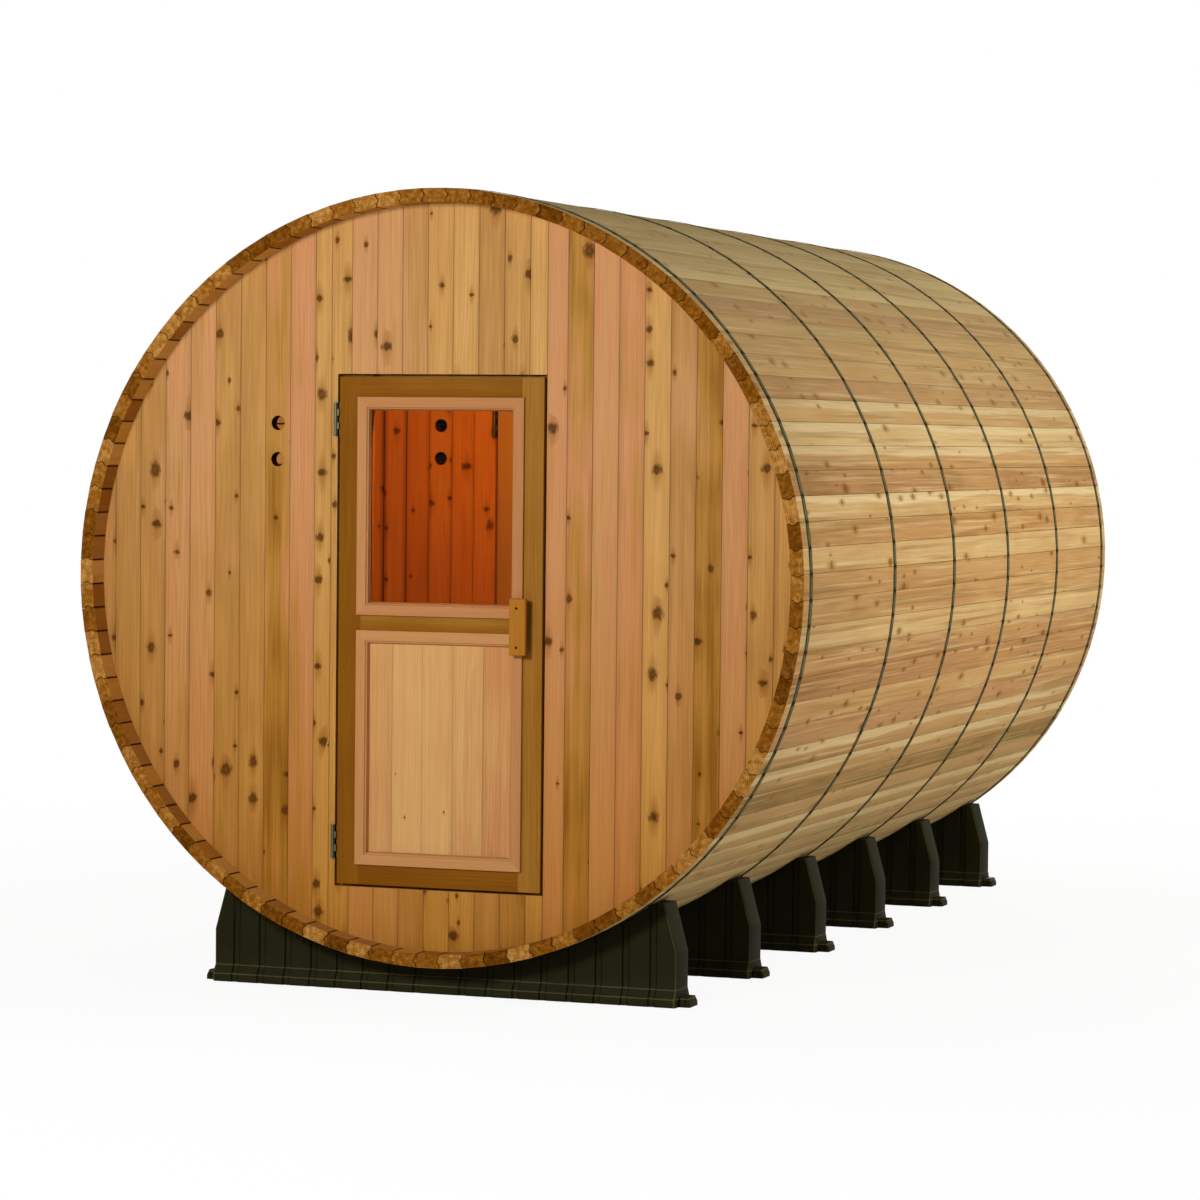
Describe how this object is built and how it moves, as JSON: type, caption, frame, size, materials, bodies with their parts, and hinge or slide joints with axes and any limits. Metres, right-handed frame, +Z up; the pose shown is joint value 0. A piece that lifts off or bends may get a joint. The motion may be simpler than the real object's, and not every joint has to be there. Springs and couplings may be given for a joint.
{
  "type": "barrel sauna",
  "caption": "Round cedar barrel sauna lying on black moulded cradles, with steel hoops, a recessed board front and a hinged half-glazed door.",
  "frame": {"origin": "on the ground, under the middle of the barrel", "axes": "+Y along the barrel from the door end to the back, +X to the right as one faces the door, +Z up"},
  "size_m": [2.1389, 3.545, 2.2193],
  "materials": {
    "cedar_staves": "satin",
    "cedar_boards": "satin",
    "stained_cedar": "satin",
    "clear_cedar": "satin",
    "handle_wood": "satin",
    "floor_slats": "matte",
    "tinted_glass": "gloss",
    "hoop_steel": "satin",
    "hinge_steel": "satin",
    "cradle_plastic": "matte"
  },
  "bodies": {
    "shell": {"staves_right": "cedar_staves", "staves_upper_right": "cedar_staves", "staves_top": "cedar_staves", "staves_upper_left": "cedar_staves", "staves_left": "cedar_staves", "staves_lower_left": "cedar_staves", "staves_bottom": "cedar_staves", "staves_lower_right": "cedar_staves", "hoops": "hoop_steel", "cradle_1": "cradle_plastic", "cradle_2": "cradle_plastic", "cradle_3": "cradle_plastic", "cradle_4": "cradle_plastic", "cradle_5": "cradle_plastic", "cradle_6": "cradle_plastic", "front_wall_left": "cedar_boards", "front_wall_vent_board": "cedar_boards", "front_wall_right": "cedar_boards", "front_wall_over_door": "cedar_boards", "front_wall_under_door": "cedar_boards", "partition_left": "cedar_boards", "partition_vent_board": "cedar_boards", "partition_right": "cedar_boards", "partition_over_door": "cedar_boards", "partition_under_door": "cedar_boards", "back_wall": "cedar_boards", "front_door_stop": "cedar_boards", "front_jamb_hinges": "hinge_steel", "inner_door_stop": "cedar_boards", "inner_jamb_hinges": "hinge_steel", "changing_room_floor": "floor_slats", "hot_room_floor": "floor_slats"},
    "front_door": {"front_door_stiles": "stained_cedar", "front_door_rails": "stained_cedar", "front_door_glass": "tinted_glass", "front_door_panel": "clear_cedar", "front_door_mouldings": "clear_cedar", "front_door_handle": "handle_wood", "front_door_hinges": "hinge_steel"},
    "inner_door": {"inner_door_stiles": "stained_cedar", "inner_door_rails": "stained_cedar", "inner_door_glass": "tinted_glass", "inner_door_panel": "clear_cedar", "inner_door_mouldings": "clear_cedar", "inner_door_handle": "handle_wood", "inner_door_hinges": "hinge_steel"}
  },
  "joints": [
    {"name": "front_door_hinge", "type": "hinge", "parent": "shell", "child": "front_door", "pos_m": [-0.313, -1.7105, 1.15], "axis": [0, 0, -1], "range_deg": [0, 150]},
    {"name": "inner_door_hinge", "type": "hinge", "parent": "shell", "child": "inner_door", "pos_m": [-0.313, -0.5105, 1.15], "axis": [0, 0, -1], "range_deg": [0, 100]}
  ]
}
